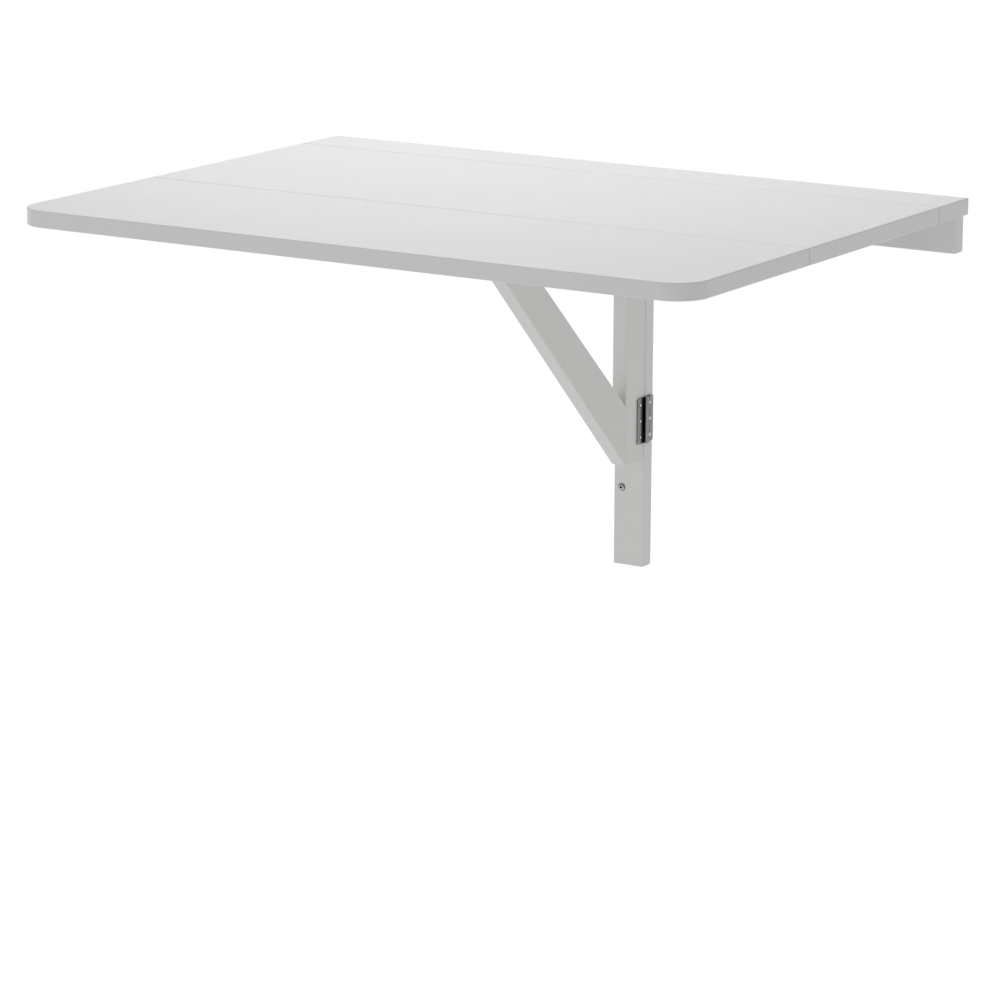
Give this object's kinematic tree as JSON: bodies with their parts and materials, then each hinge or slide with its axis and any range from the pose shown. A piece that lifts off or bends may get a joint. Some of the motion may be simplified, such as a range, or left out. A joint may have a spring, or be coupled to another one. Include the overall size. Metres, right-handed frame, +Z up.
{
  "type": "wall mounted drop leaf table",
  "caption": "White wall mounted drop leaf table: a shelf strip on a wall rail, two folding leaves on butt hinges and a swing-out triangular bracket on a wall post.",
  "frame": {"origin": "centre of the wall rail's back face, on the wall and midway along the line of the rail's screw holes", "axes": "+X along the wall to the right as seen from the room, +Y into the wall, +Z up"},
  "size_m": [0.8, 0.6, 0.45],
  "materials": {
    "white_lacquer": "satin lacquer on fibreboard",
    "hinge_steel": "dark satin",
    "screw_steel": "satin"
  },
  "bodies": {
    "wall_frame": {"back_hinge_leaf_plate_centre": "hinge_steel", "back_hinge_leaf_plate_left": "hinge_steel", "back_hinge_leaf_plate_right": "hinge_steel", "back_hinge_shelf_plate_centre": "hinge_steel", "back_hinge_shelf_plate_left": "hinge_steel", "back_hinge_shelf_plate_right": "hinge_steel", "back_shelf": "white_lacquer", "bar_guides_left": "white_lacquer", "bar_guides_right": "white_lacquer", "bearing_bar": "white_lacquer", "front_hinge_middle_plate_centre": "hinge_steel", "front_hinge_middle_plate_left": "hinge_steel", "front_hinge_middle_plate_right": "hinge_steel", "middle_leaf": "white_lacquer", "post_hinge_plate_lower": "hinge_steel", "post_hinge_plate_upper": "hinge_steel", "post_screws": "screw_steel", "support_bar_left": "white_lacquer", "support_bar_right": "white_lacquer", "wall_post": "white_lacquer", "wall_rail": "white_lacquer"},
    "front_leaf": {"front_hinge_leaf_plate_centre": "hinge_steel", "front_hinge_leaf_plate_left": "hinge_steel", "front_hinge_leaf_plate_right": "hinge_steel", "front_leaf": "white_lacquer"},
    "bracket": {"bracket_arm": "white_lacquer", "bracket_brace": "white_lacquer", "bracket_hinge_plate_lower": "hinge_steel", "bracket_hinge_plate_upper": "hinge_steel", "bracket_stile": "white_lacquer"}
  },
  "joints": [
    {"name": "front_leaf_fold", "type": "hinge", "parent": "wall_frame", "child": "front_leaf", "pos_m": [0, -0.36, 0.0185], "axis": [1, 0, 0], "range_deg": [0, 90]},
    {"name": "bracket_swing", "type": "hinge", "parent": "wall_frame", "child": "bracket", "pos_m": [0.0245, -0.0185, 0], "axis": [0, 0, 1], "range_deg": [0, 90]}
  ]
}
